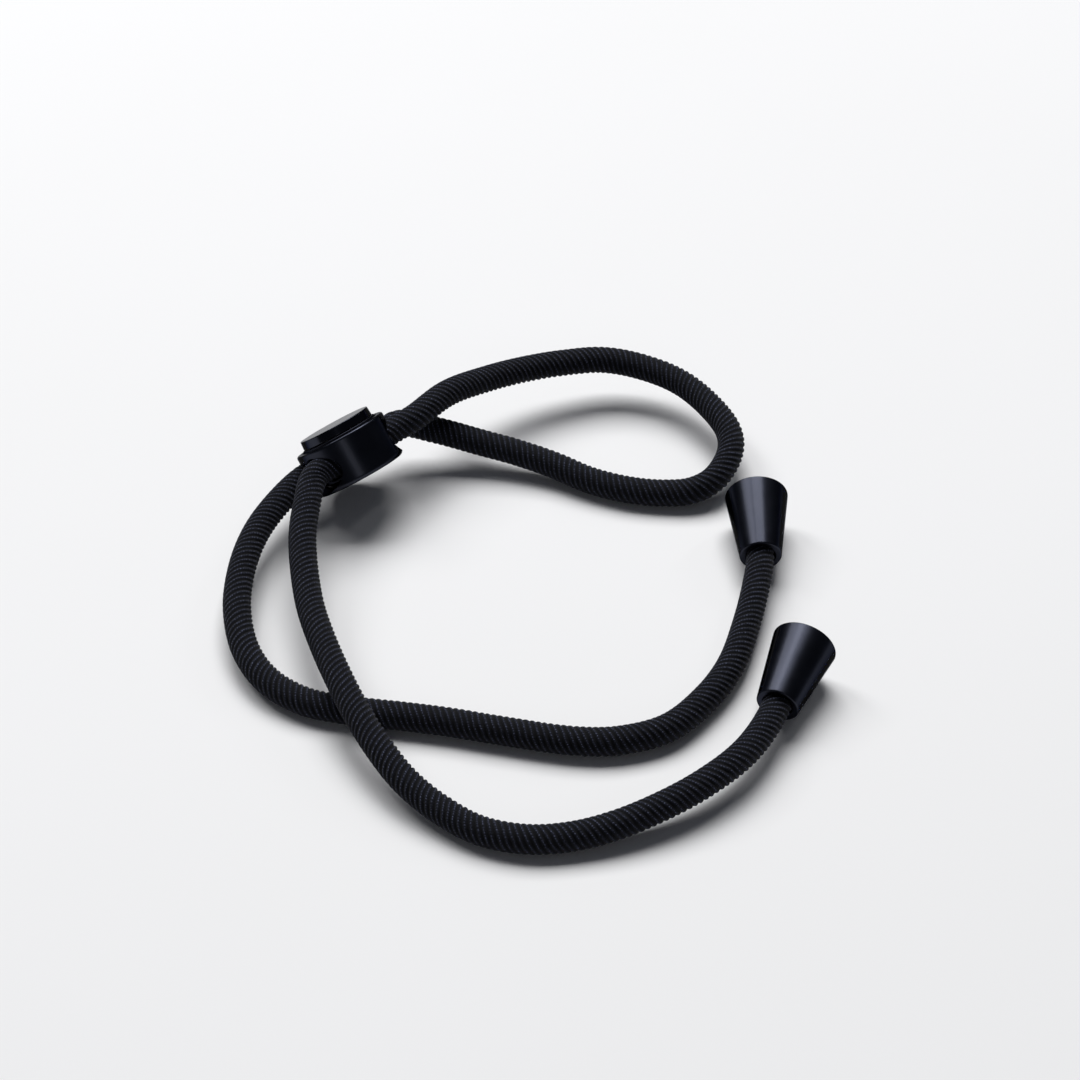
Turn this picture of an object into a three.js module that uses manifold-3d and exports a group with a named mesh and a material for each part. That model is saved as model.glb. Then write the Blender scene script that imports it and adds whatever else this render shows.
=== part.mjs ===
// Adjustable cord wrist strap: a woven elastic cord that forms the wrist loop and both tails, a round
// push-button cord lock that both strands run through, and a bell-shaped end on each tail.
// Units are millimetres and +Z is up. The strap lies on the plane z = 0, and the origin is under the
// middle of its outline.
import * as THREE from 'three';
import { mergeVertices } from 'three/addons/utils/BufferGeometryUtils.js';
import Module from 'manifold-3d';

// ---- driving dimensions ----
const CORD_RADIUS = 2.0; // woven cord, 4 mm across
const CORE_RADIUS = 0.9; // elastic core inside the weave
const CORD_SIDES = 12;
const CORE_SIDES = 8;
const CORD_STEPS = 100;
const FIT_GAP = 0.15; // space between pieces that are fitted together
const SPRING_GAP = 0.05; // space left at each end of the spring
const FERRULE_GAP = 0.12; // space between the cord and its ferrule
const OVERRUN = 2; // how far cutters reach past what they cut
const BODY_SEGMENTS = 64;
const ROUND_SEGMENTS = 48;
const BORE_SEGMENTS = 32;
const SMALL_SEGMENTS = 24;

const LOCK_CENTRE = new THREE.Vector3(-26.3, 23.5, 8.0);
const LOCK_BORE_DIRECTION = new THREE.Vector3(0.769, 0.635, 0.075); // from the tails to the loop
const LOCK_BUTTON_DIRECTION = new THREE.Vector3(-0.474, 0.487, 0.734);
const LOCK_RADIUS = 7.2;
const LOCK_HEIGHT = 7.0;
const LOCK_FILLET = 0.5;
const LOCK_FLOOR = 0.5; // thickness under the cavity
const CAVITY_RADIUS = 6.15;
const BORE_RADIUS = 2.65;
const BORE_OFFSET = 2.95; // each bore's distance from the lock's middle plane
const BORE_HEIGHT = -0.35; // the bores' axis above the body's mid-height
const BORE_CHAMFER = 0.25;
const GRIP_GAP = 0.1; // space left around the cord where the button grips it

const BUTTON_TRAVEL = 0.6;
const BARREL_RADIUS = 5.95;
const BARREL_BOTTOM = -2.25;
const BARREL_TOP = 3.75;
const BARREL_BORE_RADIUS = 2.2;
const CAP_RADIUS = 5.7;
const CAP_THICKNESS = 1.3;
const CAP_TAPER = 0.1; // how much narrower the cap is at its top
const CAP_EDGE = 0.15;
const SCREW_HEAD_RADIUS = 1.1;
const SCREW_HEAD_HEIGHT = 0.5;
const SCREW_SHANK_RADIUS = 0.4;
const SCREW_LENGTH = 6.5;
const SPRING_INNER = 4.2;
const SPRING_OUTER = 5.2;
const SPRING_THICKNESS = 0.12;
const SPRING_WAVES = 3;

const BELL_LENGTH = 11.5;
const BELL_NARROW_RADIUS = 3.05;
const BELL_WIDE_RADIUS = 4.65;
const BELL_BORE_RADIUS = CORD_RADIUS + FIT_GAP;
const BELL_WALL = 0.6;
const BELL_NECK = 1.6; // length of the close-fitting bore at the narrow end
const BELL_EDGE = 0.2;
const BELL_SEAT_DEPTH = 1.7; // recess that the end plug sits in
const BELL_LEDGE = 0.4; // width of the ledge under the plug
const BELL_DRAFT = 0.15; // how much narrower the inside starts than the wall alone would make it
const CORD_IN_BELL = 6.2; // how far the cord reaches into the bell
const FERRULE_START = 2.0;
const FERRULE_LENGTH = 3.8;
const FERRULE_WALL = 0.25;
const PLUG_THICKNESS = 1.2;
const PLUG_INSET = 0.3; // plug face below the bell's rim
const PLUG_EDGE = 0.2;

// ---- finishes ----
const WOVEN_BLACK = { color: 0x15161a, roughness: 0.95, metalness: 0.0 };
const ANODISED_BLACK = { color: 0x141416, roughness: 0.35, metalness: 0.6 };
const GLOSS_BLACK = { color: 0x0e0e10, roughness: 0.12, metalness: 0.6 };
const BRIGHT_STEEL = { color: 0xa9abae, roughness: 0.3, metalness: 1.0 };
const RUBBER = { color: 0xb9a98a, roughness: 0.8, metalness: 0.0 };

const vec = (x, y, z) => new THREE.Vector3(x, y, z);

// ---- the lock's own axes: x along the bores, z out of the button ----
const lockX = LOCK_BORE_DIRECTION.clone().normalize();
const lockY = LOCK_BUTTON_DIRECTION.clone().cross(lockX).normalize();
const lockZ = lockX.clone().cross(lockY);
const lockFrame = new THREE.Matrix4().makeBasis(lockX, lockY, lockZ).setPosition(LOCK_CENTRE);
// The button's spring pushes the strands up against the top of the body's bores.
const GRIP_HEIGHT = BORE_HEIGHT + BORE_RADIUS - CORD_RADIUS - GRIP_GAP;
const inLock = (x, side) => vec(x, side * BORE_OFFSET, GRIP_HEIGHT).applyMatrix4(lockFrame);

// ---- the cord's route, from the upper bell through the lock, round the loop and back ----
const TAIL_A = [
  vec(33.9, 11.8, 4.7), vec(33.9, 5.7, 3.9), vec(33.2, 1.0, 3.4), vec(31.4, -6.8, 2.7),
  vec(28.7, -15.2, 2.2), vec(25.0, -21.5, 2.0), vec(19.5, -27.3, 2.0), vec(12.8, -29.7, 2.0),
  vec(6.8, -29.8, 2.0), vec(-4.0, -27.7, 2.0), vec(-10.5, -26.2, 2.0), vec(-17.4, -25.0, 2.0),
  vec(-24.4, -23.9, 2.0), vec(-30.8, -22.1, 2.0), vec(-36.1, -18.4, 2.4), vec(-39.5, -13.1, 3.1),
  vec(-41.2, -5.9, 4.0), vec(-41.2, 0.7, 4.6), vec(-40.1, 7.2, 5.1), vec(-38.0, 13.1, 5.3),
];
const LOOP_FAR_SIDE = [
  vec(-13.5, 32.0, 5.6), vec(-7.5, 31.1, 4.2), vec(-1.7, 29.7, 3.3), vec(3.9, 27.6, 2.6),
  vec(9.7, 24.5, 2.1), vec(15.4, 22.5, 2.0), vec(20.6, 21.8, 2.0), vec(24.6, 22.0, 2.3),
  vec(27.9, 23.7, 3.0),
];
const LOOP_NEAR_SIDE = [
  vec(30.5, 28.4, 4.0), vec(30.6, 32.7, 4.6), vec(28.2, 38.1, 5.0), vec(23.6, 43.7, 5.5),
  vec(18.0, 46.9, 5.9), vec(11.9, 48.0, 6.5), vec(5.6, 46.7, 7.0), vec(-0.5, 44.2, 7.7),
  vec(-6.3, 40.2, 9.0), vec(-12.1, 34.8, 10.6),
];
const TAIL_B = [
  vec(-32.0, 11.0, 9.0), vec(-32.3, 5.3, 8.5), vec(-31.7, -1.5, 7.8), vec(-30.4, -8.7, 7.2),
  vec(-28.2, -15.8, 6.8), vec(-25.6, -22.6, 6.4), vec(-22.9, -28.4, 5.6), vec(-19.7, -33.9, 4.5),
  vec(-16.2, -38.6, 3.4), vec(-11.7, -42.7, 2.5), vec(-6.1, -46.3, 2.0), vec(0.3, -47.9, 2.0),
  vec(6.5, -47.4, 2.1), vec(12.5, -45.7, 2.6), vec(18.6, -42.9, 3.3), vec(24.0, -39.4, 3.8),
  vec(29.0, -34.7, 4.0), vec(32.1, -30.0, 3.9), vec(34.6, -24.7, 4.0), vec(36.9, -19.2, 4.7),
];
const STRAIGHT_AHEAD = [-7.6, -2.6, 2.6, 7.6, 10.6]; // bore stretch, and a little of the loop beyond it
const route = new THREE.CatmullRomCurve3([
  ...TAIL_A,
  ...STRAIGHT_AHEAD.map((x) => inLock(x, 1)),
  ...LOOP_FAR_SIDE,
  ...LOOP_NEAR_SIDE,
  ...STRAIGHT_AHEAD.map((x) => inLock(x, -1)).reverse(),
  ...TAIL_B,
]);
route.arcLengthDivisions = 2000;

// ---- solids ----
const wasm = await Module();
wasm.setup();

/** The geometry as a solid, for cutting and joining. */
function solid(geometry) {
  const bare = geometry.index ? geometry.toNonIndexed() : geometry.clone();
  bare.deleteAttribute('normal');
  bare.deleteAttribute('uv');
  const merged = mergeVertices(bare, 1e-4);
  return new wasm.Manifold(new wasm.Mesh({
    numProp: 3,
    vertProperties: new Float32Array(merged.attributes.position.array),
    triVerts: new Uint32Array(merged.index.array),
  }));
}

/** The solid's surface as a three.js geometry. */
function surface(manifold) {
  const mesh = manifold.getMesh();
  const geometry = new THREE.BufferGeometry();
  geometry.setAttribute('position', new THREE.BufferAttribute(mesh.vertProperties, 3));
  geometry.setIndex(new THREE.BufferAttribute(mesh.triVerts, 1));
  geometry.computeVertexNormals();
  return geometry;
}

/** A turned piece about its own Z axis, from [radius, height] corners in order up its outside. */
function turned(corners, segments = ROUND_SEGMENTS) {
  const profile = corners.map(([radius, height]) => new THREE.Vector2(radius, height));
  return new THREE.LatheGeometry(profile, segments).rotateX(Math.PI / 2);
}

/** A disc or rod from one height to another, closed on its axis. */
function rod(radius, bottom, top, segments = ROUND_SEGMENTS) {
  return turned([[0, bottom], [radius, bottom], [radius, top], [0, top]], segments);
}

/** A ring of rectangular section, closed on itself. */
function ring(inner, outer, bottom, top) {
  return turned([[inner, bottom], [outer, bottom], [outer, top], [inner, top], [inner, bottom]]);
}

/** A regular polygon that fits inside a circle of the given radius. */
function polygon(radius, sides) {
  return Array.from({ length: sides }, (_, i) => {
    const angle = (2 * Math.PI * i) / sides;
    return new THREE.Vector2(radius * Math.cos(angle), radius * Math.sin(angle));
  });
}

/** A cutter along X for one cross bore, at the given side and height. */
function crossCutter(corners, side, height) {
  return solid(turned(corners, BORE_SEGMENTS).rotateY(Math.PI / 2).translate(0, side * BORE_OFFSET, height));
}

const object = new THREE.Group();
const lock = new THREE.Group();
lock.applyMatrix4(lockFrame);
object.add(lock);

/** Adds one named piece to a group. */
function piece(name, geometry, finish, parent = object) {
  const mesh = new THREE.Mesh(geometry, new THREE.MeshStandardMaterial(finish));
  mesh.name = name;
  parent.add(mesh);
  return mesh;
}

// ---- cord: woven sheath with its elastic core ----
function cordPieces() {
  const sheath = new THREE.Shape(polygon(CORD_RADIUS, CORD_SIDES));
  sheath.holes.push(new THREE.Path(polygon(CORE_RADIUS + FIT_GAP, CORE_SIDES)));
  const core = new THREE.Shape(polygon(CORE_RADIUS, CORE_SIDES));
  const along = { steps: CORD_STEPS, extrudePath: route, bevelEnabled: false };
  piece('cord_sheath', new THREE.ExtrudeGeometry(sheath, along), WOVEN_BLACK);
  piece('cord_core', new THREE.ExtrudeGeometry(core, along), RUBBER);
}

// ---- cord lock ----
function lockBody() {
  const half = LOCK_HEIGHT / 2;
  const f = LOCK_FILLET;
  const edge = f * (1 - Math.SQRT1_2);
  const outside = solid(turned([
    [0, -half], [LOCK_RADIUS - f, -half], [LOCK_RADIUS - edge, edge - half], [LOCK_RADIUS, f - half],
    [LOCK_RADIUS, half - f], [LOCK_RADIUS - edge, half - edge], [LOCK_RADIUS - f, half], [0, half],
  ], BODY_SEGMENTS));
  const cavity = solid(rod(CAVITY_RADIUS, LOCK_FLOOR - half, half + OVERRUN));
  const mouth = Math.sqrt(LOCK_RADIUS ** 2 - BORE_OFFSET ** 2);
  const reach = LOCK_RADIUS + OVERRUN;
  const flare = BORE_RADIUS + BORE_CHAMFER + (reach - mouth);
  const profile = [[0, -reach], [flare, -reach], [BORE_RADIUS, BORE_CHAMFER - mouth],
    [BORE_RADIUS, mouth - BORE_CHAMFER], [flare, reach], [0, reach]];
  const bores = [1, -1].map((side) => crossCutter(profile, side, BORE_HEIGHT));
  return [cavity, ...bores].reduce((body, cutter) => body.subtract(cutter), outside);
}

/** The button's barrel; its bores are slots, so that it can travel past the gripped strands. */
function buttonBarrel() {
  const blank = solid(rod(BARREL_RADIUS, BARREL_BOTTOM, BARREL_TOP));
  const reach = BARREL_RADIUS + OVERRUN;
  const profile = [[0, -reach], [BARREL_BORE_RADIUS, -reach], [BARREL_BORE_RADIUS, reach], [0, reach]];
  const low = GRIP_HEIGHT - CORD_RADIUS - GRIP_GAP + BARREL_BORE_RADIUS;
  const slotHeights = [low, low + BUTTON_TRAVEL / 2, low + BUTTON_TRAVEL];
  const bores = [1, -1].flatMap((side) => slotHeights.map((height) => crossCutter(profile, side, height)));
  const headSeat = solid(rod(SCREW_HEAD_RADIUS + FIT_GAP, BARREL_BOTTOM - OVERRUN,
    BARREL_BOTTOM + SCREW_HEAD_HEIGHT + 2 * FIT_GAP, SMALL_SEGMENTS));
  const shankHole = solid(rod(SCREW_SHANK_RADIUS + FIT_GAP, BARREL_BOTTOM - OVERRUN,
    BARREL_TOP + OVERRUN, SMALL_SEGMENTS));
  return [...bores, headSeat, shankHole].reduce((body, cutter) => body.subtract(cutter), blank);
}

function buttonCap() {
  const bottom = BARREL_TOP + FIT_GAP;
  const top = bottom + CAP_THICKNESS;
  const disc = solid(turned([
    [0, bottom], [CAP_RADIUS, bottom], [CAP_RADIUS - CAP_TAPER, top - CAP_EDGE],
    [CAP_RADIUS - CAP_TAPER - CAP_EDGE, top], [0, top],
  ]));
  const tapped = BARREL_BOTTOM + FIT_GAP + SCREW_LENGTH + FIT_GAP;
  return disc.subtract(solid(rod(SCREW_SHANK_RADIUS + FIT_GAP, bottom - OVERRUN, tapped, SMALL_SEGMENTS)));
}

function capScrew() {
  const bottom = BARREL_BOTTOM + FIT_GAP;
  const neck = bottom + SCREW_HEAD_HEIGHT;
  return turned([
    [0, bottom], [SCREW_HEAD_RADIUS, bottom], [SCREW_HEAD_RADIUS, neck], [SCREW_SHANK_RADIUS, neck],
    [SCREW_SHANK_RADIUS, bottom + SCREW_LENGTH], [0, bottom + SCREW_LENGTH],
  ], SMALL_SEGMENTS);
}

/** A crinkled spring washer that lifts the button; it touches the floor and the barrel in turn. */
function waveSpring() {
  const floor = LOCK_FLOOR - LOCK_HEIGHT / 2;
  const room = BARREL_BOTTOM - floor - 2 * SPRING_GAP;
  const washer = ring(SPRING_INNER, SPRING_OUTER, 0, SPRING_THICKNESS);
  const place = washer.attributes.position;
  const swing = (room - SPRING_THICKNESS) / 2;
  for (let i = 0; i < place.count; i += 1) {
    const angle = Math.atan2(place.getY(i), place.getX(i));
    const lift = swing * (1 + Math.sin(SPRING_WAVES * angle));
    place.setZ(i, floor + SPRING_GAP + place.getZ(i) + lift);
  }
  return washer;
}

function lockPieces() {
  piece('lock_body', surface(lockBody()), ANODISED_BLACK, lock);
  piece('button_barrel', surface(buttonBarrel()), ANODISED_BLACK, lock);
  piece('button_cap', surface(buttonCap()), GLOSS_BLACK, lock);
  piece('cap_screw', capScrew(), BRIGHT_STEEL, lock);
  piece('wave_spring', waveSpring(), BRIGHT_STEEL, lock);
}

// ---- bell ends: their Z axis follows the cord out of the strap, narrow end first ----
const bellRadiusAt = (height) =>
  BELL_NARROW_RADIUS + (BELL_WIDE_RADIUS - BELL_NARROW_RADIUS) * (height / BELL_LENGTH);

function bellShell() {
  const seat = BELL_LENGTH - BELL_SEAT_DEPTH;
  const inside = (height) => bellRadiusAt(height) - BELL_WALL;
  const ledge = inside(seat) - BELL_LEDGE;
  return turned([
    [BELL_BORE_RADIUS, BELL_EDGE], [BELL_BORE_RADIUS + BELL_EDGE, 0], [BELL_NARROW_RADIUS - BELL_EDGE, 0],
    [bellRadiusAt(BELL_EDGE), BELL_EDGE], [bellRadiusAt(BELL_LENGTH - BELL_EDGE), BELL_LENGTH - BELL_EDGE],
    [BELL_WIDE_RADIUS - BELL_EDGE, BELL_LENGTH], [inside(BELL_LENGTH), BELL_LENGTH], [inside(seat), seat],
    [ledge, seat], [inside(BELL_NECK) - BELL_DRAFT, BELL_NECK], [BELL_BORE_RADIUS, BELL_NECK],
    [BELL_BORE_RADIUS, BELL_EDGE],
  ]);
}

function bellEnd(label, tip, inward) {
  const bell = new THREE.Group();
  bell.quaternion.setFromUnitVectors(vec(0, 0, 1), inward.clone().negate());
  bell.position.copy(tip).addScaledVector(inward, CORD_IN_BELL);
  object.add(bell);
  const seat = BELL_LENGTH - BELL_SEAT_DEPTH;
  const plugRadius = bellRadiusAt(seat) - BELL_WALL - FIT_GAP;
  const plugTop = BELL_LENGTH - PLUG_INSET;
  const inner = CORD_RADIUS + FERRULE_GAP;
  piece(`bell_${label}`, bellShell(), ANODISED_BLACK, bell);
  piece(`plug_${label}`, turned([
    [0, plugTop - PLUG_THICKNESS], [plugRadius, plugTop - PLUG_THICKNESS],
    [plugRadius, plugTop - PLUG_EDGE], [plugRadius - PLUG_EDGE, plugTop], [0, plugTop],
  ]), ANODISED_BLACK, bell);
  piece(`ferrule_${label}`,
    ring(inner, inner + FERRULE_WALL, FERRULE_START, FERRULE_START + FERRULE_LENGTH), BRIGHT_STEEL, bell);
}

cordPieces();
lockPieces();
bellEnd('upper', route.getPointAt(0), route.getTangentAt(0));
bellEnd('lower', route.getPointAt(1), route.getTangentAt(1).negate());

export default object;
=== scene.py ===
"""An adjustable cord wrist strap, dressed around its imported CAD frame.

One woven elastic cord makes the wrist loop and both tails. Both strands run through a round
push-button cord lock, and each tail ends in a bell. Everything is in metres, in the CAD frame.
"""
import logging
import math
from dataclasses import dataclass, field
from enum import Enum
from typing import Iterable, Sequence

import bpy
import numpy as np
from mathutils import Matrix, Vector


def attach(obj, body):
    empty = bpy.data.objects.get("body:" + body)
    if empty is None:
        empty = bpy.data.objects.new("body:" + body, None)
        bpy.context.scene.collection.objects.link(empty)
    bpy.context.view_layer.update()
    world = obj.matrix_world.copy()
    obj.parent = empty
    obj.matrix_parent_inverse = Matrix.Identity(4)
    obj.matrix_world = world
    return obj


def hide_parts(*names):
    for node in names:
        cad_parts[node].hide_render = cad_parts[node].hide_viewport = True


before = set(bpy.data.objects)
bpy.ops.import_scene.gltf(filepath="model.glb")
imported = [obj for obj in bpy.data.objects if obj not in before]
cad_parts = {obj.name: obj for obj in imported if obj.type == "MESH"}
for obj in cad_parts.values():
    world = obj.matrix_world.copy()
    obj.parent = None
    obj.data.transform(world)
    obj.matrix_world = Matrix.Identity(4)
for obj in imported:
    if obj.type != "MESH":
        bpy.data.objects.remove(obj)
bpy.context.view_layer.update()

MM = 0.001
END_SPAN = 4  # steps of the cord's line over which the direction of each end is taken
LOG = logging.getLogger("wrist_strap")

Profile = list[tuple[float, float]]
Colour = tuple[float, float, float, float]


# ---------------------------------------------------------------- helpers
def srgb(code: str, alpha: float = 1.0) -> Colour:
    """Turns an sRGB hex colour into the linear colour that a shader takes.

    Args:
        code: six hex digits, such as "1b1c20".
        alpha: opacity.

    Returns:
        The linear red, green and blue, and alpha.
    """
    parts = [int(code[i:i + 2], 16) / 255 for i in (0, 2, 4)]
    linear = [c / 12.92 if c <= 0.04045 else ((c + 0.055) / 1.055) ** 2.4 for c in parts]
    return (linear[0], linear[1], linear[2], alpha)


def add_node(tree: bpy.types.NodeTree, kind: str, inputs: dict | None = None,
             **settings: object) -> bpy.types.Node:
    """Adds one node with its settings and its inputs.

    Args:
        tree: the node tree.
        kind: the node's type name.
        inputs: input name or number, to a value, a socket, or a node whose first output is meant.
        settings: attributes to set on the node.

    Returns:
        The new node.
    """
    node = tree.nodes.new(kind)
    for name, value in settings.items():
        setattr(node, name, value)
    for key, value in (inputs or {}).items():
        if isinstance(value, bpy.types.Node):
            value = next(socket for socket in value.outputs if socket.enabled)
        if isinstance(value, bpy.types.NodeSocket):
            tree.links.new(value, node.inputs[key])
        else:
            node.inputs[key].default_value = value
    return node


def add_links(tree: bpy.types.NodeTree, links: dict[bpy.types.NodeSocket, bpy.types.Node]) -> None:
    """Links each node's first output to a socket.

    Args:
        tree: the node tree.
        links: input socket, to the node that feeds it.
    """
    for socket, node in links.items():
        tree.links.new(next(out for out in node.outputs if out.enabled), socket)


def new_material(name: str, constants: dict) -> tuple[bpy.types.Material, bpy.types.NodeTree,
                                                      bpy.types.Node]:
    """Starts a material on a Principled shader.

    Args:
        name: the material's name.
        constants: the shader's inputs that are the same all over.

    Returns:
        The material, its node tree and its shader node.
    """
    material = bpy.data.materials.new(name)
    material.use_nodes = True
    tree = material.node_tree
    shader = tree.nodes["Principled BSDF"]
    for key, value in constants.items():
        shader.inputs[key].default_value = value
    return material, tree, shader


def turned_profile(corners: Sequence[tuple[float, float, float]], steps: int = 5) -> Profile:
    """Rounds the corners of a turned outline.

    Each fillet gets an arc, and a support point just outside it on either side, so that the flats
    next to it shade flat.

    Args:
        corners: (radius, height, fillet) of each corner, in millimetres.
        steps: how many pieces each fillet's arc has.

    Returns:
        The outline's points, in millimetres.
    """
    points = [Vector((r, z)) for r, z, _ in corners]
    outline: list[Vector] = []
    for i, (_, _, fillet) in enumerate(corners):
        here = points[i]
        if fillet == 0 or i in (0, len(corners) - 1):
            outline.append(here)
            continue
        back = (points[i - 1] - here).normalized()
        ahead = (points[i + 1] - here).normalized()
        half = math.acos(max(-1.0, min(1.0, back.dot(ahead)))) / 2
        reach = fillet / math.tan(half)
        centre = here + (back + ahead).normalized() * (fillet / math.sin(half))
        start, end = here + back * reach, here + ahead * reach
        outline.append(start + back * 0.15 * fillet)
        swing = (start - centre).angle_signed(end - centre)
        for k in range(steps + 1):
            turn = Matrix.Rotation(-swing * k / steps, 2)
            outline.append(centre + turn @ (start - centre))
        outline.append(end + ahead * 0.15 * fillet)
    return [(p.x, p.y) for p in outline]


def turned_mesh(name: str, profile: Profile, segments: int, closed: bool = False) -> bpy.types.Mesh:
    """Turns an outline about the local Z axis into a closed mesh.

    Args:
        name: the mesh's name.
        profile: (radius, height) in millimetres, up the outside; on the axis at both ends unless closed.
        segments: how many faces go round.
        closed: whether the outline's last point joins its first.

    Returns:
        The mesh, in metres.
    """
    verts: list[tuple[float, float, float]] = []
    rings: list[list[int]] = []
    for r, z in profile:
        if r < 1e-6:
            rings.append([len(verts)] * segments)
            verts.append((0.0, 0.0, z * MM))
            continue
        rings.append(list(range(len(verts), len(verts) + segments)))
        angles = [2 * math.pi * k / segments for k in range(segments)]
        verts.extend((r * MM * math.cos(a), r * MM * math.sin(a), z * MM) for a in angles)
    faces: list[tuple[int, ...]] = []
    pairs = list(zip(rings, rings[1:] + (rings[:1] if closed else [])))
    for low, high in pairs if closed else pairs[:len(rings) - 1]:
        for k in range(segments):
            j = (k + 1) % segments
            corners = tuple(dict.fromkeys((low[k], low[j], high[j], high[k])))
            if len(corners) > 2:
                faces.append(corners)
    mesh = bpy.data.meshes.new(name)
    mesh.from_pydata(verts, [], faces)
    mesh.validate()
    mesh.update()
    return mesh


def new_piece(name: str, mesh: bpy.types.Mesh, place: Matrix | None = None,
              sharp_deg: float = 32.0) -> bpy.types.Object:
    """Makes a finished object at the origin, with its place in its mesh.

    Args:
        name: the piece's name.
        mesh: its mesh, in its own axes.
        place: where those axes lie in the CAD frame.
        sharp_deg: edges that turn by more than this stay sharp.

    Returns:
        The object, linked to the scene.
    """
    if place is not None:
        mesh.transform(place)
    mesh.name = name
    mesh.shade_smooth()
    mesh.set_sharp_from_angle(angle=math.radians(sharp_deg))
    mesh.update()
    piece = bpy.data.objects.new(name, mesh)
    bpy.context.scene.collection.objects.link(piece)
    return piece


def baked_mesh(piece: bpy.types.Object) -> bpy.types.Mesh:
    """Returns the mesh that an object's modifiers make, and removes the object.

    Args:
        piece: the object.

    Returns:
        The evaluated mesh.
    """
    graph = bpy.context.evaluated_depsgraph_get()
    mesh = bpy.data.meshes.new_from_object(piece.evaluated_get(graph), depsgraph=graph)
    bpy.data.objects.remove(piece, do_unlink=True)
    return mesh


def cut_mesh(name: str, blank: bpy.types.Mesh, cutters: Iterable[bpy.types.Mesh]) -> bpy.types.Mesh:
    """Cuts one mesh by others.

    Args:
        name: the result's name.
        blank: the mesh to cut.
        cutters: closed meshes to take away, one after the other.

    Returns:
        The cut mesh.
    """
    piece = new_piece(name, blank)
    tools = []
    for index, cutter in enumerate(cutters):
        tool = new_piece(f"{name}_cutter_{index}", cutter)
        modifier = piece.modifiers.new(tool.name, "BOOLEAN")
        modifier.operation = "DIFFERENCE"
        modifier.solver = "EXACT"
        modifier.object = tool
        tools.append(tool)
    mesh = baked_mesh(piece)
    for tool in tools:
        bpy.data.objects.remove(tool, do_unlink=True)
    return mesh


# ---------------------------------------------------------------- finishes
class Grain(Enum):
    """How the aluminium under the anodised coat was left."""

    BLASTED = "blasted"
    POLISHED = "polished"


@dataclass(frozen=True)
class Anodised:
    """Black anodised aluminium: a dark satin metal that spreads each light into a soft grey band.

    The sealed oxide on top adds a faint sharper gloss. The metal under it was blasted or polished.
    """

    name: str
    coat: str = "2a2c34"
    thin_coat: str = "34363f"
    edge: str = "6c6f76"
    roughness: float = 0.3
    gloss: float = 0.04
    grain: Grain = Grain.BLASTED
    grain_mm: float = 0.12  # blasted grit is about 0.05 mm: drawn coarser so that it shows

    def material(self) -> bpy.types.Material:
        """Builds the material."""
        material, tree, shader = new_material(self.name, {
            "Metallic": 1.0, "Specular Tint": srgb(self.edge), "Coat Weight": self.gloss,
            "Coat Roughness": 0.08, "Coat IOR": 1.6})
        place = add_node(tree, "ShaderNodeTexCoord").outputs["Object"]
        grit = add_node(tree, "ShaderNodeTexNoise",
                        {"Vector": place, "Scale": 1 / (self.grain_mm * MM), "Detail": 2.0})
        clouds = add_node(tree, "ShaderNodeTexNoise",
                          {"Vector": place, "Scale": 1 / (3.0 * MM), "Detail": 3.0, "Roughness": 0.6})
        tone = add_node(tree, "ShaderNodeMix", {
            "Factor": clouds, "A": srgb(self.coat), "B": srgb(self.thin_coat)}, data_type="RGBA")
        spread = 0.05 if self.grain is Grain.BLASTED else 0.02
        rough = add_node(tree, "ShaderNodeMapRange", {
            "Value": clouds, "To Min": self.roughness - spread, "To Max": self.roughness + spread})
        depth_mm = 0.0007 if self.grain is Grain.BLASTED else 0.0001
        bump = add_node(tree, "ShaderNodeBump", {"Height": grit, "Distance": depth_mm * MM})
        add_links(tree, {shader.inputs["Base Color"]: tone, shader.inputs["Roughness"]: rough,
                         shader.inputs["Normal"]: bump})
        return material


@dataclass(frozen=True)
class BareMetal:
    """Steel, drawn and then tumbled bright or oil blackened: an even shine broken by faint streaks."""

    name: str
    colour: str = "b4b6ba"
    roughness: float = 0.28
    streak_mm: float = 0.2

    def material(self) -> bpy.types.Material:
        """Builds the material."""
        material, tree, shader = new_material(self.name, {
            "Metallic": 1.0, "Base Color": srgb(self.colour)})
        place = add_node(tree, "ShaderNodeTexCoord").outputs["Object"]
        streaks = add_node(tree, "ShaderNodeTexNoise",
                           {"Vector": place, "Scale": 1 / (self.streak_mm * MM), "Detail": 4.0})
        rough = add_node(tree, "ShaderNodeMapRange", {
            "Value": streaks, "To Min": self.roughness - 0.08, "To Max": self.roughness + 0.12})
        add_links(tree, {shader.inputs["Roughness"]: rough})
        return material


@dataclass(frozen=True)
class Latex:
    """Natural latex rubber, extruded: dull, warm and slightly mottled."""

    name: str
    colour: str = "c4ab80"
    shade: str = "a98f66"

    def material(self) -> bpy.types.Material:
        """Builds the material."""
        material, tree, shader = new_material(self.name, {"Roughness": 0.7})
        place = add_node(tree, "ShaderNodeTexCoord").outputs["Object"]
        mottle = add_node(tree, "ShaderNodeTexNoise",
                          {"Vector": place, "Scale": 1 / (1.2 * MM), "Detail": 4.0})
        tone = add_node(tree, "ShaderNodeMix",
                        {"Factor": mottle, "A": srgb(self.colour), "B": srgb(self.shade)}, data_type="RGBA")
        add_links(tree, {shader.inputs["Base Color"]: tone})
        return material


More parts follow.
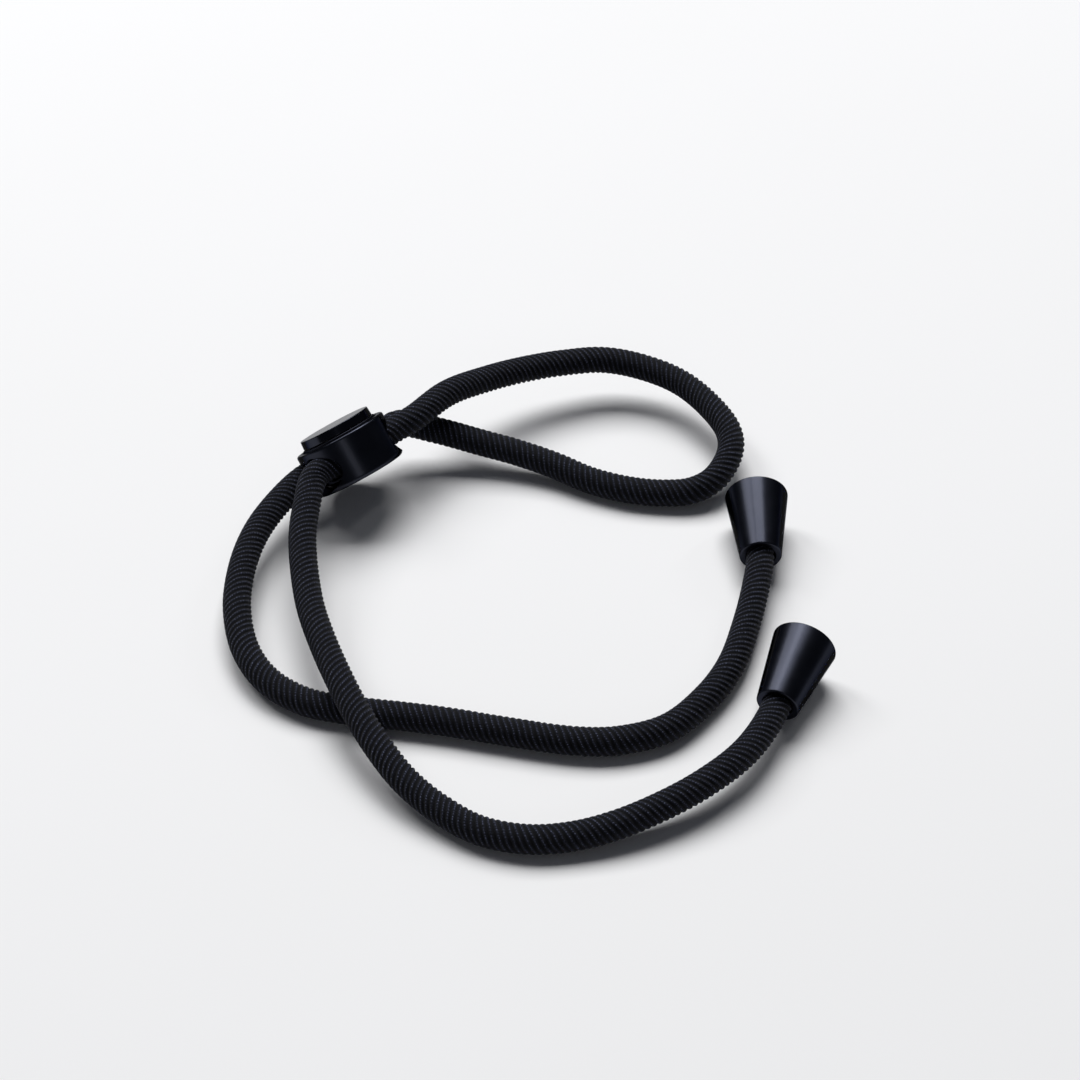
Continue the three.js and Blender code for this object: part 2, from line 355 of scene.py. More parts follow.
@dataclass(frozen=True)
class WovenCover:
    """Spun polyester yarn woven round elastic: matt black slanting ribs, with painted shade in the grooves
    between.

    Each rib is a row of short twists of yarn, whose glints are painted on as bright flecks. The material
    reads the cord's own UV map: U runs along the cord and V round it, both in turns.
    """

    name: str
    # painted shade: the grooves get a darker colour than the ridges, for the shade that falls in them
    painted_groove_shade: str = "08090d"
    ridge: str = "11131c"
    # painted highlight: the bright colour put on the rib crests where the yarn catches the light
    painted_fleck_highlight: str = "757c98"
    rib_pitch_mm: float = 0.9
    rib_starts: int = 7
    turn_mm: float = 4 * math.pi
    twists_round: int = 36
    twist_depth_mm: float = 0.09
    fibre_mm: float = 0.14  # a fibre is about 0.02 mm: drawn coarser so that it shows

    def material(self) -> bpy.types.Material:
        """Builds the material."""
        material, tree, shader = new_material(self.name, {
            "Roughness": 0.85, "Specular IOR Level": 0.12, "Sheen Weight": 0.06, "Sheen Roughness": 0.5})
        coords = add_node(tree, "ShaderNodeTexCoord")
        flat = add_node(tree, "ShaderNodeSeparateXYZ", {0: coords.outputs["UV"]})
        slant = add_node(tree, "ShaderNodeMath", {0: flat.outputs["Y"], 1: self.rib_starts},
                         operation="MULTIPLY")
        rib = add_node(tree, "ShaderNodeMath", {
            0: flat.outputs["X"], 1: self.turn_mm / self.rib_pitch_mm}, operation="MULTIPLY")
        rib = add_node(tree, "ShaderNodeMath", {0: rib, 1: slant}, operation="SUBTRACT")
        side = add_node(tree, "ShaderNodeMath", {0: rib, 1: 0.5}, operation="PINGPONG")
        ridge = add_node(tree, "ShaderNodeMapRange", {"Value": side, "From Min": 0.04, "From Max": 0.42},
                         interpolation_type="SMOOTHSTEP")
        wander = add_node(tree, "ShaderNodeTexNoise",
                          {"Vector": coords.outputs["Object"], "Scale": 1 / (0.9 * MM), "Detail": 2.0})
        twist = add_node(tree, "ShaderNodeMath", {
            0: flat.outputs["Y"], 1: self.twists_round, 2: wander}, operation="MULTIPLY_ADD")
        lean = add_node(tree, "ShaderNodeMath", {0: rib, 1: 0.6, 2: twist}, operation="MULTIPLY_ADD")
        strand = add_node(tree, "ShaderNodeMath", {0: lean, 1: 0.5}, operation="PINGPONG")
        fibre = add_node(tree, "ShaderNodeTexNoise", {
            "Vector": coords.outputs["Object"], "Scale": 1 / (self.fibre_mm * MM), "Detail": 3.0,
            "Roughness": 0.65})
        relief = add_node(tree, "ShaderNodeMath", {0: strand, 1: ridge, 2: fibre},
                          operation="MULTIPLY_ADD")
        bump = add_node(tree, "ShaderNodeBump", {"Height": relief, "Distance": self.twist_depth_mm * MM})
        # painted shade: the colour darkens from ridge to groove down each rib's flank
        body = add_node(tree, "ShaderNodeMix",
                        {"Factor": ridge, "A": srgb(self.painted_groove_shade), "B": srgb(self.ridge)}, data_type="RGBA")
        # painted highlight: bright flecks on the rib crests, broken up by the fibre noise and the twists
        crest = add_node(tree, "ShaderNodeMapRange", {"Value": side, "From Min": 0.33, "From Max": 0.5})
        painted_glint_mask = add_node(tree, "ShaderNodeMapRange", {"Value": fibre, "From Min": 0.46, "From Max": 0.66})
        painted_highlight_mask = add_node(tree, "ShaderNodeMath", {0: crest, 1: painted_glint_mask}, operation="MULTIPLY")
        painted_highlight_mask = add_node(tree, "ShaderNodeMath", {0: painted_highlight_mask, 1: strand}, operation="MULTIPLY")
        painted_highlight_mask = add_node(tree, "ShaderNodeMath", {0: painted_highlight_mask, 1: 2.4}, operation="MULTIPLY", use_clamp=True)
        tone = add_node(tree, "ShaderNodeMix", {"Factor": painted_highlight_mask, "A": body, "B": srgb(self.painted_fleck_highlight)},
                        data_type="RGBA")
        add_links(tree, {shader.inputs["Base Color"]: tone, shader.inputs["Normal"]: bump})
        return material


@dataclass(frozen=True)
class PaleTable:
    """A white laminate table top: clean, matt and very slightly uneven in tone."""

    name: str
    colour: str = "efeff0"
    shade: str = "ececec"

    def material(self) -> bpy.types.Material:
        """Builds the material."""
        material, tree, shader = new_material(self.name, {
            "Roughness": 0.6, "Specular IOR Level": 0.2})
        place = add_node(tree, "ShaderNodeTexCoord").outputs["Object"]
        tone = add_node(tree, "ShaderNodeTexNoise", {"Vector": place, "Scale": 9.0, "Detail": 2.0})
        mix = add_node(tree, "ShaderNodeMix",
                       {"Factor": tone, "A": srgb(self.colour), "B": srgb(self.shade)}, data_type="RGBA")
        add_links(tree, {shader.inputs["Base Color"]: mix})
        return material


# ---------------------------------------------------------------- the lock's axes and the cord's route
@dataclass
class LockAxes:
    """Where the cord lock sits: X runs along its bores and Z out of its button. Sizes in millimetres."""

    centre: tuple[float, float, float] = (-26.3, 23.5, 8.0)
    bore_direction: tuple[float, float, float] = (0.769, 0.635, 0.075)
    button_direction: tuple[float, float, float] = (-0.474, 0.487, 0.734)
    bore_offset: float = 2.95
    grip_height: float = 0.2

    def matrix(self) -> Matrix:
        """Returns the lock's axes as a matrix in metres."""
        x = Vector(self.bore_direction).normalized()
        y = Vector(self.button_direction).cross(x).normalized()
        z = x.cross(y)
        turn = Matrix((x, y, z)).transposed().to_4x4()
        return Matrix.Translation(Vector(self.centre) * MM) @ turn

    def strand(self, x: float, side: int) -> tuple[float, float, float]:
        """Gives a point of a strand inside the lock.

        Args:
            x: distance along the bores from the lock's middle.
            side: 1 for the far bore and -1 for the near one.

        Returns:
            The point in the CAD frame, in millimetres.
        """
        point = self.matrix() @ (Vector((x, side * self.bore_offset, self.grip_height)) * MM)
        return tuple(point / MM)


@dataclass
class CordRoute:
    """The way the cord lies, from inside the upper bell, through the lock and round the loop, and back."""

    axes: LockAxes
    tail_a: list[tuple[float, float, float]] = field(default_factory=lambda: [
        (33.9, 11.8, 4.7), (33.9, 5.7, 3.9), (33.2, 1.0, 3.4), (31.4, -6.8, 2.7),
        (28.7, -15.2, 2.2), (25.0, -21.5, 2.0), (19.5, -27.3, 2.0), (12.8, -29.7, 2.0),
        (6.8, -29.8, 2.0), (-4.0, -27.7, 2.0), (-10.5, -26.2, 2.0), (-17.4, -25.0, 2.0),
        (-24.4, -23.9, 2.0), (-30.8, -22.1, 2.0), (-36.1, -18.4, 2.4), (-39.5, -13.1, 3.1),
        (-41.2, -5.9, 4.0), (-41.2, 0.7, 4.6), (-40.1, 7.2, 5.1), (-38.0, 13.1, 5.3)])
    loop_far: list[tuple[float, float, float]] = field(default_factory=lambda: [
        (-13.5, 32.0, 5.6), (-7.5, 31.1, 4.2), (-1.7, 29.7, 3.3), (3.9, 27.6, 2.6),
        (9.7, 24.5, 2.1), (15.4, 22.5, 2.0), (20.6, 21.8, 2.0), (24.6, 22.0, 2.3),
        (27.9, 23.7, 3.0)])
    loop_near: list[tuple[float, float, float]] = field(default_factory=lambda: [
        (30.5, 28.4, 4.0), (30.6, 32.7, 4.6), (28.2, 38.1, 5.0), (23.6, 43.7, 5.5),
        (18.0, 46.9, 5.9), (11.9, 48.0, 6.5), (5.6, 46.7, 7.0), (-0.5, 44.2, 7.7),
        (-6.3, 40.2, 9.0), (-12.1, 34.8, 10.6)])
    tail_b: list[tuple[float, float, float]] = field(default_factory=lambda: [
        (-32.0, 11.0, 9.0), (-32.3, 5.3, 8.5), (-31.7, -1.5, 7.8), (-30.4, -8.7, 7.2),
        (-28.2, -15.8, 6.8), (-25.6, -22.6, 6.4), (-22.9, -28.4, 5.6), (-19.7, -33.9, 4.5),
        (-16.2, -38.6, 3.4), (-11.7, -42.7, 2.5), (-6.1, -46.3, 2.0), (0.3, -47.9, 2.0),
        (6.5, -47.4, 2.1), (12.5, -45.7, 2.6), (18.6, -42.9, 3.3), (24.0, -39.4, 3.8),
        (29.0, -34.7, 4.0), (32.1, -30.0, 3.9), (34.6, -24.7, 4.0), (36.9, -19.2, 4.7)])
    straight_ahead: tuple[float, ...] = (-7.6, -2.6, 2.6, 7.6, 10.6)
    samples: int = 40
    spacing_mm: float = 0.25

    def knots(self) -> np.ndarray:
        """Returns the route's listed points in order, in millimetres."""
        far = [self.axes.strand(x, 1) for x in self.straight_ahead]
        near = [self.axes.strand(x, -1) for x in reversed(self.straight_ahead)]
        return np.array([*self.tail_a, *far, *self.loop_far, *self.loop_near, *near, *self.tail_b])

    def centreline(self) -> np.ndarray:
        """Runs a centripetal Catmull-Rom curve through the knots.

        Returns:
            Evenly spaced points along the cord, in millimetres.
        """
        knots = self.knots()
        ends = np.vstack([2 * knots[0] - knots[1], knots, 2 * knots[-1] - knots[-2]])
        line = []
        for p0, p1, p2, p3 in zip(ends, ends[1:], ends[2:], ends[3:]):
            gaps = [max(np.linalg.norm(b - a) ** 0.5, 1e-6) for a, b in ((p0, p1), (p1, p2), (p2, p3))]
            leave = (p1 - p0) / gaps[0] - (p2 - p0) / (gaps[0] + gaps[1]) + (p2 - p1) / gaps[1]
            arrive = (p2 - p1) / gaps[1] - (p3 - p1) / (gaps[1] + gaps[2]) + (p3 - p2) / gaps[2]
            leave, arrive = leave * gaps[1], arrive * gaps[1]
            t = np.linspace(0, 1, self.samples, endpoint=False)[:, None]
            line.append((2 * t ** 3 - 3 * t ** 2 + 1) * p1 + (t ** 3 - 2 * t ** 2 + t) * leave
                        + (3 * t ** 2 - 2 * t ** 3) * p2 + (t ** 3 - t ** 2) * arrive)
        points = np.vstack([*line, knots[-1:]])
        reach = np.concatenate([[0], np.cumsum(np.linalg.norm(np.diff(points, axis=0), axis=1))])
        even = np.linspace(0, reach[-1], int(reach[-1] / self.spacing_mm))
        return np.column_stack([np.interp(even, reach, points[:, k]) for k in range(3)])


# ---------------------------------------------------------------- the woven cord
@dataclass
class WovenCord:
    """The cord's woven sheath: a tube whose surface is ribs that wind round it. Sizes in millimetres."""

    line: np.ndarray
    diameter: float = 4.0
    radius: float = 2.05
    rib_pitch: float = 0.9
    rib_starts: int = 7
    rib_depth: float = 0.28
    unevenness: float = 0.5
    columns: int = 40
    rows_per_rib: int = 5
    end_taper: float = 0.5
    route_stride: int = 8
    finish: WovenCover = WovenCover("woven_polyester_cover", turn_mm=2.05 * 2 * math.pi)

    @property
    def length(self) -> float:
        """The cord's length in millimetres."""
        return float(np.linalg.norm(np.diff(self.line, axis=0), axis=1).sum())

    def path_object(self) -> bpy.types.Object:
        """Makes the curve that the sheath follows."""
        curve = bpy.data.curves.new("cord_path", "CURVE")
        curve.dimensions = "3D"
        spline = curve.splines.new("POLY")
        spline.points.add(len(self.line) - 1)
        spline.points.foreach_set("co", np.column_stack([self.line * MM, np.ones(len(self.line))]).ravel())
        path = bpy.data.objects.new("cord_path", curve)
        bpy.context.scene.collection.objects.link(path)
        return path

    def rib_tree(self) -> bpy.types.NodeTree:
        """Builds the node tree that wraps a ribbed grid round a path.

        The grid's columns follow the ribs: each row is sheared so that one turn round the cord moves
        it on by a whole number of ribs, and the two edges of the grid then meet exactly.

        Returns:
            The geometry node tree.
        """
        tree = bpy.data.node_groups.new("ribbed_sheath", "GeometryNodeTree")
        sockets = [("Path", "NodeSocketObject"), ("Length", "NodeSocketFloat"),
                   ("Radius", "NodeSocketFloat"), ("Rib Pitch", "NodeSocketFloat"),
                   ("Rib Starts", "NodeSocketInt"),
                   ("Rib Depth", "NodeSocketFloat"), ("Unevenness", "NodeSocketFloat"),
                   ("End Taper", "NodeSocketFloat"), ("Rows", "NodeSocketInt"),
                   ("Columns", "NodeSocketInt"), ("Finish", "NodeSocketMaterial")]
        for name, kind in sockets:
            tree.interface.new_socket(name, in_out="INPUT", socket_type=kind)
        tree.interface.new_socket("Geometry", in_out="OUTPUT", socket_type="NodeSocketGeometry")
        given = add_node(tree, "NodeGroupInput").outputs
        path = add_node(tree, "GeometryNodeObjectInfo", {"Object": given["Path"]})
        grid = add_node(tree, "GeometryNodeMeshGrid", {
            "Size X": 1.0, "Size Y": 1.0, "Vertices X": given["Rows"], "Vertices Y": given["Columns"]})
        spot = add_node(tree, "ShaderNodeSeparateXYZ", {0: add_node(tree, "GeometryNodeInputPosition")})
        along = add_node(tree, "ShaderNodeMath", {0: spot.outputs["X"], 1: 0.5}, operation="ADD")
        around = add_node(tree, "ShaderNodeMath", {0: spot.outputs["Y"], 1: 0.5}, operation="ADD")
        # where along the cord each vertex lies, with the shear that follows the ribs
        lead = add_node(tree, "ShaderNodeMath", {0: given["Rib Pitch"], 1: given["Rib Starts"]},
                        operation="MULTIPLY")
        whole = add_node(tree, "ShaderNodeMath", {0: given["Length"], 1: lead}, operation="ADD")
        back = add_node(tree, "ShaderNodeMath", {0: around, 1: 1.0}, operation="SUBTRACT")
        shear = add_node(tree, "ShaderNodeMath", {0: back, 1: lead}, operation="MULTIPLY")
        run = add_node(tree, "ShaderNodeMath", {0: along, 1: whole, 2: shear}, operation="MULTIPLY_ADD")
        held = add_node(tree, "ShaderNodeClamp", {"Value": run, "Min": 0.0, "Max": given["Length"]})
        sample = add_node(tree, "GeometryNodeSampleCurve",
                          {"Curves": path.outputs["Geometry"], "Length": held},
                          mode="LENGTH", use_all_curves=False)
        # the direction out of the cord at each vertex
        angle = add_node(tree, "ShaderNodeMath", {0: around, 1: 2 * math.pi}, operation="MULTIPLY")
        side = add_node(tree, "ShaderNodeVectorMath", {
            0: sample.outputs["Tangent"], 1: sample.outputs["Normal"]}, operation="CROSS_PRODUCT")
        cosine = add_node(tree, "ShaderNodeMath", {0: angle}, operation="COSINE")
        sine = add_node(tree, "ShaderNodeMath", {0: angle}, operation="SINE")
        out_n = add_node(tree, "ShaderNodeVectorMath", {0: sample.outputs["Normal"], "Scale": cosine},
                         operation="SCALE")
        out_b = add_node(tree, "ShaderNodeVectorMath", {0: side, "Scale": sine}, operation="SCALE")
        outward = add_node(tree, "ShaderNodeVectorMath", {0: out_n, 1: out_b}, operation="ADD")
        # the ribs, which wander a little along the cord
        near = add_node(tree, "ShaderNodeVectorMath", {
            0: outward, 1: (2 * MM, 2 * MM, 2 * MM), 2: sample.outputs["Position"]},
            operation="MULTIPLY_ADD")
        drift = add_node(tree, "ShaderNodeTexNoise",
                         {"Vector": near, "Scale": 1 / (2.4 * MM), "Detail": 2.0})
        drift = add_node(tree, "ShaderNodeMath", {0: drift, 1: 0.5}, operation="SUBTRACT")
        moved = add_node(tree, "ShaderNodeMath", {0: drift, 1: given["Unevenness"], 2: held},
                         operation="MULTIPLY_ADD")
        turns = add_node(tree, "ShaderNodeMath", {0: around, 1: given["Rib Starts"]}, operation="MULTIPLY")
        ribs = add_node(tree, "ShaderNodeMath", {0: moved, 1: given["Rib Pitch"]}, operation="DIVIDE")
        phase = add_node(tree, "ShaderNodeMath", {0: ribs, 1: turns}, operation="SUBTRACT")
        flank = add_node(tree, "ShaderNodeMath", {0: phase, 1: 0.5}, operation="PINGPONG")
        dip = add_node(tree, "ShaderNodeMath", {0: flank, 1: -2.0, 2: 1.0}, operation="MULTIPLY_ADD")
        dip = add_node(tree, "ShaderNodeMath", {0: dip, 1: 2.0}, operation="POWER")
        sunk = add_node(tree, "ShaderNodeMath", {0: dip, 1: given["Rib Depth"]}, operation="MULTIPLY")
        out = add_node(tree, "ShaderNodeMath", {0: given["Radius"], 1: sunk}, operation="SUBTRACT")
        # both ends close to a point
        rest = add_node(tree, "ShaderNodeMath", {0: given["Length"], 1: held}, operation="SUBTRACT")
        to_end = add_node(tree, "ShaderNodeMath", {0: held, 1: rest}, operation="MINIMUM")
        close = add_node(tree, "ShaderNodeMath", {0: to_end, 1: given["End Taper"]},
                         operation="DIVIDE", use_clamp=True)
        close = add_node(tree, "ShaderNodeMath", {0: close, 1: 0.4}, operation="POWER")
        out = add_node(tree, "ShaderNodeMath", {0: out, 1: close}, operation="MULTIPLY")
        offset = add_node(tree, "ShaderNodeVectorMath", {0: outward, "Scale": out}, operation="SCALE")
        target = add_node(tree, "ShaderNodeVectorMath", {0: sample.outputs["Position"], 1: offset},
                          operation="ADD")
        girth = add_node(tree, "ShaderNodeMath", {0: given["Radius"], 1: 2 * math.pi}, operation="MULTIPLY")
        u = add_node(tree, "ShaderNodeMath", {0: moved, 1: girth}, operation="DIVIDE")
        uv = add_node(tree, "ShaderNodeCombineXYZ", {"X": u, "Y": around})
        mapped = add_node(tree, "GeometryNodeStoreNamedAttribute",
                          {"Geometry": grid.outputs["Mesh"], "Name": "UVMap", "Value": uv},
                          data_type="FLOAT2", domain="CORNER")
        placed = add_node(tree, "GeometryNodeSetPosition", {"Geometry": mapped, "Position": target})
        welded = add_node(tree, "GeometryNodeMergeByDistance", {"Geometry": placed, "Distance": 0.002 * MM})
        real = add_node(tree, "GeometryNodeRealizeInstances", {"Geometry": welded})
        dressed = add_node(tree, "GeometryNodeSetMaterial", {"Geometry": real, "Material": given["Finish"]})
        add_node(tree, "NodeGroupOutput", {"Geometry": dressed})
        return tree

    def build(self) -> bpy.types.Object:
        """Builds the sheath as one closed mesh.

        Returns:
            The sheath's object.
        """
        path = self.path_object()
        tree = self.rib_tree()
        lead = self.rib_pitch * self.rib_starts
        step = self.rib_pitch / self.rows_per_rib
        rows = int((self.length + lead) // step) + 1
        length = ((rows - 1) * step - lead) * MM
        values = {"Path": path, "Length": length, "Radius": self.radius * MM,
                  "Rib Pitch": self.rib_pitch * MM, "Rib Starts": self.rib_starts,
                  "Rib Depth": self.rib_depth * MM, "Unevenness": self.unevenness * MM,
                  "End Taper": self.end_taper * MM, "Rows": rows, "Columns": self.columns + 1,
                  "Finish": self.finish.material()}
        host = bpy.data.objects.new("sheath_host", bpy.data.meshes.new("sheath_host"))
        bpy.context.scene.collection.objects.link(host)
        modifier = host.modifiers.new("ribs", "NODES")
        modifier.node_group = tree
        for item in tree.interface.items_tree:
            if item.in_out == "INPUT":
                modifier[item.identifier] = values[item.name]
        mesh = baked_mesh(host)
        bpy.data.objects.remove(path, do_unlink=True)
        return new_piece("woven_sheath", mesh, sharp_deg=180)

    def dress(self, sheath: bpy.types.Object, fittings: list[bpy.types.Object]) -> None:
        """Args:
            sheath: the object from build.
            fittings: the pieces on its far end. Not used.
        """
        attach(sheath, "cord")
        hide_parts("cord_sheath")


# ---------------------------------------------------------------- the cord lock
@dataclass
class CordLock:
    """The push-button cord lock: a cup with two cross bores, and a button that slides in it.

    Sizes in millimetres.
    """

    axes: LockAxes
    radius: float = 7.2
    height: float = 7.0
    top_edge: float = 0.35
    bottom_edge: float = 0.7
    floor: float = 0.5
    cavity_radius: float = 6.15
    bore_radius: float = 2.65
    bore_height: float = -0.35
    bore_chamfer: float = 0.14
    barrel_radius: float = 5.95
    barrel_bottom: float = -2.25
    barrel_top: float = 3.75
    slot_radius: float = 2.3
    slot_low: float = 0.3
    travel: float = 0.6
    cap_radius: float = 5.7
    cap_thickness: float = 1.3
    cap_taper: float = 0.1
    cap_edge: float = 0.12
    gap: float = 0.15
    segments: int = 160
    finish: Anodised = Anodised("anodised_aluminium_satin_lock", roughness=0.3)
    slide_finish: Anodised = Anodised("anodised_aluminium_sliding_fit", roughness=0.45, gloss=0.0)
    cap_finish: Anodised = Anodised("anodised_aluminium_polished", roughness=0.17, grain=Grain.POLISHED)

    def cross_cutter(self, profile: Profile, side: int, height: float) -> bpy.types.Mesh:
        """Makes a cutter that lies along the bores.

        Args:
            profile: its outline about its own axis.
            side: 1 for the far bore and -1 for the near one.
            height: its axis above the body's mid-height.

        Returns:
            The cutter's mesh, in the lock's axes.
        """
        mesh = turned_mesh("cross_cutter", profile, 96)
        place = Matrix.Translation(Vector((0, side * self.axes.bore_offset, height)) * MM)
        mesh.transform(place @ Matrix.Rotation(math.pi / 2, 4, "Y"))
        return mesh

    def body_mesh(self) -> bpy.types.Mesh:
        """Makes the cup with its cavity and its two chamfered bores."""
        half = self.height / 2
        outside = turned_mesh("lock_blank", turned_profile([
            (0, -half, 0), (self.radius, -half, self.bottom_edge), (self.radius, half, self.top_edge),
            (0, half, 0)]), self.segments)
        cavity = turned_mesh("lock_cavity", turned_profile([
            (0, self.floor - half, 0), (self.cavity_radius, self.floor - half, 0),
            (self.cavity_radius, half - 0.15, 0), (self.cavity_radius + 0.35, half + 0.2, 0),
            (0, half + 0.2, 0)]), 128)
        mouth = math.sqrt(self.radius ** 2 - self.axes.bore_offset ** 2)
        reach = self.radius + 2
        flare = self.bore_radius + self.bore_chamfer + (reach - mouth)
        inner = mouth - self.bore_chamfer
        profile = [(0, -reach), (flare, -reach), (self.bore_radius, -inner), (self.bore_radius, inner),
                   (flare, reach), (0, reach)]
        bores = [self.cross_cutter(profile, side, self.bore_height) for side in (1, -1)]
        return cut_mesh("lock_body_mesh", outside, [cavity, *bores])

    def barrel_mesh(self) -> bpy.types.Mesh:
        """Makes the button's barrel with its slotted bores."""
        blank = turned_mesh("barrel_blank", turned_profile([
            (0, self.barrel_bottom, 0), (self.barrel_radius, self.barrel_bottom, 0.1),
            (self.barrel_radius, self.barrel_top, 0.08), (0, self.barrel_top, 0)]), self.segments)
        reach = self.barrel_radius + 2
        profile = [(0, -reach), (self.slot_radius, -reach), (self.slot_radius, reach), (0, reach)]
        heights = [self.slot_low + self.travel * k / 2 for k in range(3)]
        cutters = [self.cross_cutter(profile, side, height) for side in (1, -1) for height in heights]
        return cut_mesh("barrel_mesh", blank, cutters)

    def cap_mesh(self) -> bpy.types.Mesh:
        """Makes the button's polished cap."""
        bottom = self.barrel_top + self.gap
        top = bottom + self.cap_thickness
        return turned_mesh("cap_mesh", turned_profile([
            (0, bottom, 0), (self.cap_radius, bottom, 0.06),
            (self.cap_radius - self.cap_taper, top, self.cap_edge), (0, top, 0)]), self.segments)

    def build(self) -> dict[str, bpy.types.Object]:
        """Builds the lock's visible pieces.

        Returns:
            The body, the barrel and the cap by name.
        """
        place = self.axes.matrix()
        return {"body": new_piece("lock_cup", self.body_mesh(), place),
                "barrel": new_piece("button_slide", self.barrel_mesh(), place),
                "cap": new_piece("button_top", self.cap_mesh(), place)}

    def dress(self, pieces: dict[str, bpy.types.Object]) -> None:
        """Gives the pieces their finish, body and CAD nodes.

        Args:
            pieces: what build returned.
        """
        rows = [("body", "lock", "lock_body", "anodised", self.finish),
                ("barrel", "button", "button_barrel", "anodised", self.slide_finish),
                ("cap", "button", "button_cap", "gloss_cap", self.cap_finish)]
        for key, body, node, slot, finish in rows:
            piece = pieces[key]
            piece.data.materials.clear()
            piece.data.materials.append(finish.material())
            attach(piece, body)
            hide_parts(node)


# ---------------------------------------------------------------- bell ends
class Tail(Enum):
    """The cord's two tails, each named for its bell."""

    UPPER = "upper"
    LOWER = "lower"


@dataclass
class BellEnd:
    """A bell-shaped cord end with its plug. Its Z axis follows the cord out of the strap. Millimetres."""

    tail: Tail
    tip: np.ndarray
    outward: np.ndarray
    length: float = 11.5
    narrow_radius: float = 3.05
    wide_radius: float = 4.65
    bore_radius: float = 2.15
    wall: float = 0.6
    neck: float = 1.6
    seat_depth: float = 1.7
    cord_inside: float = 6.2
    plug_thickness: float = 1.2
    plug_inset: float = 0.3
    gap: float = 0.15
    segments: int = 128

    def outer_radius(self, height: float) -> float:
        """Gives the cone's radius at a height above its narrow end."""
        return self.narrow_radius + (self.wide_radius - self.narrow_radius) * height / self.length

    def shell_mesh(self) -> bpy.types.Mesh:
        """Makes the hollow bell."""
        seat = self.length - self.seat_depth
        ledge = self.outer_radius(seat) - self.wall - 0.4
        first_inside = self.outer_radius(self.neck) - self.wall - 0.15
        rim_inside = self.outer_radius(self.length) - self.wall
        corners = [
            (self.bore_radius, self.neck, 0), (self.bore_radius, 0, 0.12), (self.narrow_radius, 0, 0.22),
            (self.wide_radius, self.length, 0.14), (rim_inside, self.length, 0.1),
            (self.outer_radius(seat) - self.wall, seat, 0), (ledge, seat, 0), (first_inside, self.neck, 0)]
        return turned_mesh("bell_shell", turned_profile(corners), self.segments, closed=True)

    def plug_mesh(self) -> bpy.types.Mesh:
        """Makes the plug that closes the wide end."""
        seat = self.length - self.seat_depth
        radius = self.outer_radius(seat) - self.wall - self.gap
        top = self.length - self.plug_inset
        return turned_mesh("bell_plug", turned_profile([
            (0, top - self.plug_thickness, 0), (radius, top - self.plug_thickness, 0.1),
            (radius, top, 0.15), (0, top, 0)]), self.segments)

    def build(self) -> list[bpy.types.Object]:
        """Builds the shell and the plug.

        Returns:
            The shell and the plug.
        """
        axis = Vector(self.outward)
        turn = Vector((0, 0, 1)).rotation_difference(axis).to_matrix().to_4x4()
        start = Vector(self.tip) - axis * self.cord_inside
        place = Matrix.Translation(start * MM) @ turn
        return [new_piece(f"bell_shell_{self.tail.value}", self.shell_mesh(), place),
                new_piece(f"bell_disc_{self.tail.value}", self.plug_mesh(), place)]

    def dress(self, pieces: list[bpy.types.Object], satin: bpy.types.Material) -> None:
        """Gives the pieces their finish, body and CAD nodes.

        Args:
            pieces: what build returned.
            satin: the anodised finish.
        """
        for piece, node in zip(pieces, (f"bell_{self.tail.value}", f"plug_{self.tail.value}")):
            piece.data.materials.clear()
            piece.data.materials.append(satin)
            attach(piece, "cord")
            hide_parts(node)


# ---------------------------------------------------------------- hidden CAD pieces and the studio
def dress_hidden_pieces() -> None:
    """Gives the pieces inside the lock, the bells and the sheath their materials."""
    steel = BareMetal("tumbled_stainless_steel").material()
    blackened = BareMetal("oil_blackened_spring_steel", colour="34353a", roughness=0.4).material()
    rubber = Latex("natural_latex_core").material()
    finishes = {"cap_screw": steel, "wave_spring": blackened, "ferrule_upper": steel,
                "ferrule_lower": steel, "cord_core": rubber}
    for node, material in finishes.items():
        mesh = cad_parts[node].data
        mesh.materials.clear()
        mesh.materials.append(material)


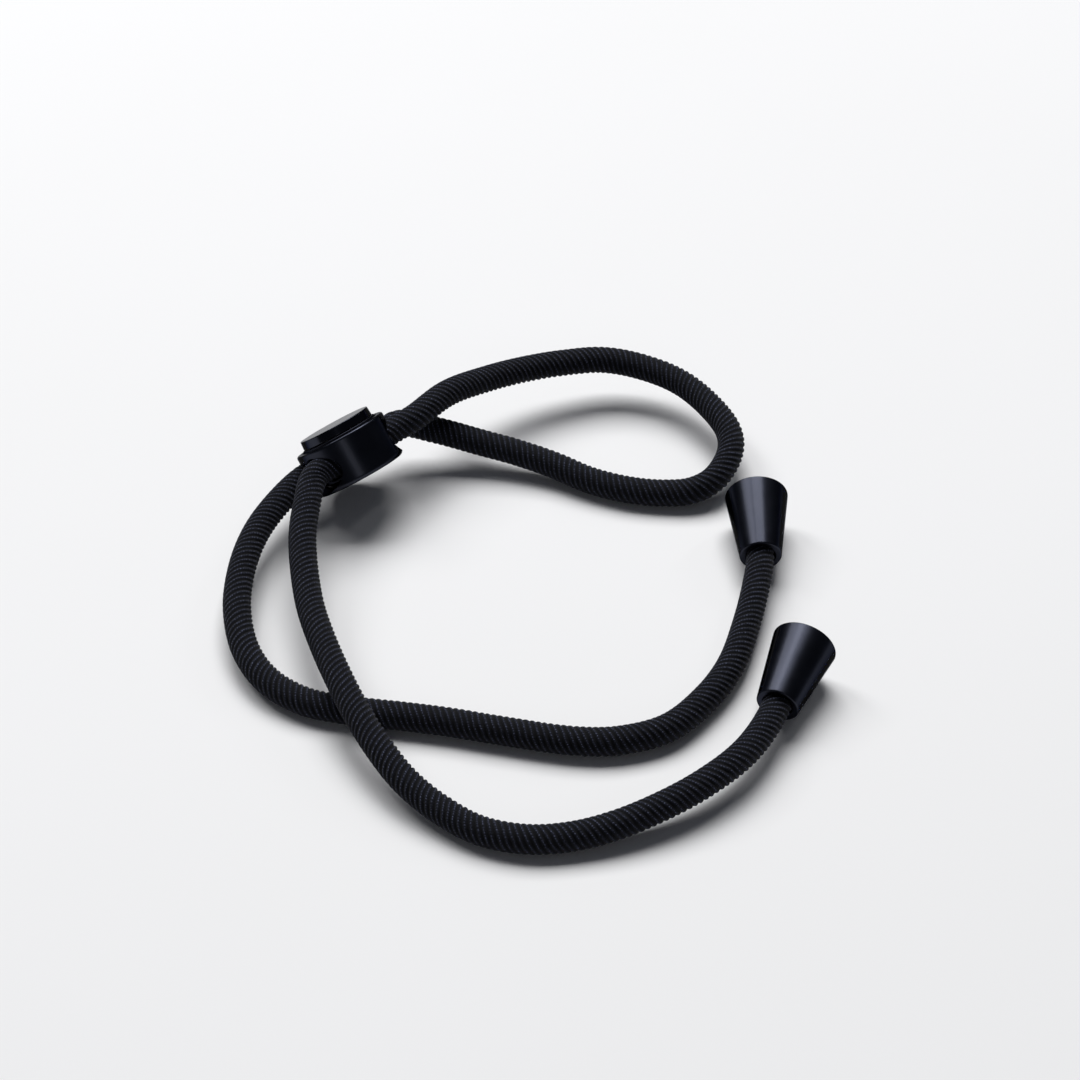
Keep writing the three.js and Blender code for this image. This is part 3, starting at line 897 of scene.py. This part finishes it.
@dataclass
class Studio:
    """A white table under one large soft light, seen through a long lens. Sizes in metres."""

    target: tuple[float, float, float] = (0.0019, 0.0135, 0.0)
    distance: float = 0.444
    elevation_deg: float = 42.0
    lens_mm: float = 100.0
    sensor_mm: float = 36.0

    def camera(self) -> None:
        """Makes the camera."""
        data = bpy.data.cameras.new("camera")
        data.lens = self.lens_mm
        data.sensor_width = self.sensor_mm
        data.clip_start = 0.01
        rise = math.radians(self.elevation_deg)
        away = Vector((0, -math.cos(rise), math.sin(rise)))
        camera = bpy.data.objects.new("camera", data)
        camera.location = Vector(self.target) + away * self.distance
        camera.rotation_euler = (math.pi / 2 - rise, 0, 0)
        bpy.context.scene.collection.objects.link(camera)
        bpy.context.scene.camera = camera

    def floor(self) -> None:
        """Makes the table top."""
        half = 1.6
        mesh = bpy.data.meshes.new("table_top")
        corners = [(-half, -half, 0), (half, -half, 0), (half, half, 0), (-half, half, 0)]
        mesh.from_pydata(corners, [], [(0, 1, 2, 3)])
        table = bpy.data.objects.new("table_top", mesh)
        mesh.materials.append(PaleTable("white_laminate").material())
        bpy.context.scene.collection.objects.link(table)
        table.location.z = -0.00005

    def area_light(self, name: str, place: Vector, aim: Vector, size: tuple[float, float],
                   power: float) -> None:
        """Makes one rectangular soft light.

        Args:
            name: the light's name.
            place: where it hangs.
            aim: the point that it faces.
            size: its width and height.
            power: its power in watts.
        """
        data = bpy.data.lights.new(name, "AREA")
        data.shape = "RECTANGLE"
        data.size, data.size_y = size
        data.energy = power
        light = bpy.data.objects.new(name, data)
        light.location = place
        light.rotation_euler = (aim - place).to_track_quat("-Z", "Y").to_euler()
        bpy.context.scene.collection.objects.link(light)

    def lights(self) -> None:
        """Makes the big overhead light, a softer one on the left, two small accents and the room's fill."""
        aim = Vector((0, 0, 0))
        toward = Vector((0.0, 0.67, 1.0)).normalized()
        self.area_light("overhead_softbox", toward * 2.2, aim, (1.3, 1.3), 46.5)
        left = Vector((-0.62, 0.5, 0.9)).normalized()
        self.area_light("left_softbox", left * 1.3, aim, (0.42, 0.65), 5.0)
        front = Vector((0.12, -0.86, 0.49)).normalized()
        self.area_light("front_card", front * 1.2, aim, (0.3, 0.3), 0.4)
        strip = Vector((0.568, 0.608, 0.548)).normalized()
        self.area_light("back_strip", strip * 1.2, aim, (0.03, 0.3), 0.5)
        world = bpy.data.worlds.new("room")
        world.use_nodes = True
        world.node_tree.nodes["Background"].inputs["Color"].default_value = srgb("e6ecff")
        world.node_tree.nodes["Background"].inputs["Strength"].default_value = 0.06
        scene = bpy.context.scene
        scene.world = world
        scene.view_settings.view_transform = "Standard"


def main() -> None:
    """Builds the strap and its studio."""
    logging.basicConfig(level=logging.INFO, format="%(name)s: %(message)s")
    studio = Studio()
    studio.camera()
    axes = LockAxes()
    line = CordRoute(axes).centreline()
    cord = WovenCord(line)
    sheath = cord.build()
    LOG.info("woven sheath: %.1f mm long, %d faces", cord.length, len(sheath.data.polygons))
    satin = Anodised("anodised_aluminium_satin_bell", roughness=0.32).material()
    ends = {Tail.UPPER: (line[0], line[0] - line[END_SPAN]),
            Tail.LOWER: (line[-1], line[-1] - line[-1 - END_SPAN])}
    fittings: dict[Tail, list[bpy.types.Object]] = {}
    for tail, (tip, outward) in ends.items():
        bell = BellEnd(tail, tip, outward / np.linalg.norm(outward))
        fittings[tail] = bell.build()
        bell.dress(fittings[tail], satin)
        LOG.info("bell end %s", tail.value)
    cord.dress(sheath, fittings[Tail.LOWER])
    lock = CordLock(axes)
    pieces = lock.build()
    lock.dress(pieces)
    LOG.info("cord lock: %s", {key: len(piece.data.polygons) for key, piece in pieces.items()})
    dress_hidden_pieces()
    studio.floor()
    studio.lights()


if __name__ == "__main__":
    main()
